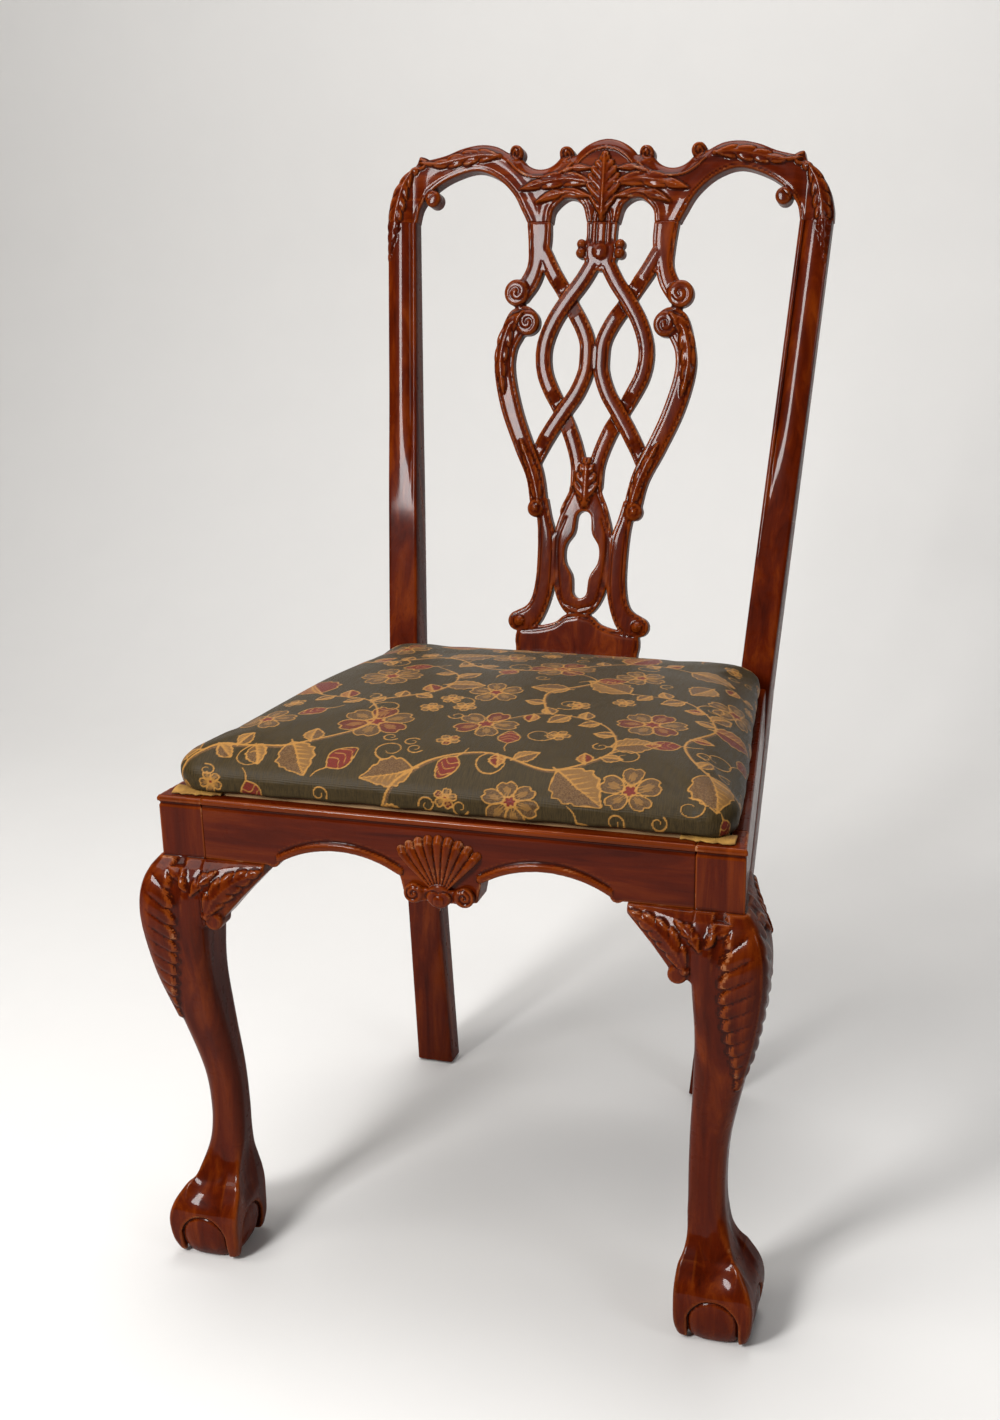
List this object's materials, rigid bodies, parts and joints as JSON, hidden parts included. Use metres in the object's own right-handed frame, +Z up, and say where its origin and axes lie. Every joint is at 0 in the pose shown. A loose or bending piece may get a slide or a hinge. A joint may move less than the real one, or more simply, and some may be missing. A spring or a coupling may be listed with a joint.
{
  "type": "dining side chair",
  "caption": "Carved mahogany side chair with pierced interlaced splat, scrolled crest, cabriole front legs on ball-and-claw feet and a drop-in upholstered seat.",
  "frame": {"origin": "on the floor under the middle of the chair's outline", "axes": "+X across the seat, to the right as the chair is seen from its front; +Y from the front of the seat to its back; +Z up"},
  "size_m": [0.566, 0.6308, 1.016],
  "materials": {
    "mahogany": "gloss lacquer",
    "frame_wood": "bare sawn wood",
    "upholstery": "floral jacquard sateen",
    "foam": "open-cell foam",
    "webbing": "woven jute",
    "dust_cloth": "black cambric",
    "glide_felt": "pressed felt",
    "screw_steel": "zinc plated"
  },
  "bodies": {
    "chair_frame": {"left_back_post": "mahogany", "right_back_post": "mahogany", "crest_rail": "mahogany", "back_splat": "mahogany", "splat_shoe": "mahogany", "front_seat_rail": "mahogany", "rear_seat_rail": "mahogany", "left_seat_rail": "mahogany", "right_seat_rail": "mahogany", "apron_shell": "mahogany", "left_front_leg": "mahogany", "right_front_leg": "mahogany", "left_front_knee_bracket": "mahogany", "left_side_knee_bracket": "mahogany", "right_front_knee_bracket": "mahogany", "right_side_knee_bracket": "mahogany", "front_left_corner_block": "frame_wood", "front_right_corner_block": "frame_wood", "rear_left_corner_block": "frame_wood", "rear_right_corner_block": "frame_wood", "corner_block_screws": "screw_steel", "rear_foot_glides": "glide_felt"},
    "slip_seat": {"seat_frame_front_rail": "frame_wood", "seat_frame_rear_rail": "frame_wood", "seat_frame_left_rail": "frame_wood", "seat_frame_right_rail": "frame_wood", "seat_webbing": "webbing", "seat_pad": "foam", "seat_cover": "upholstery", "seat_dust_cover": "dust_cloth", "dust_cover_staples": "screw_steel"}
  },
  "joints": [
    {"name": "seat_lift", "type": "slide", "parent": "chair_frame", "child": "slip_seat", "axis": [0, 0, 1], "range_m": [0, 0.12]}
  ]
}
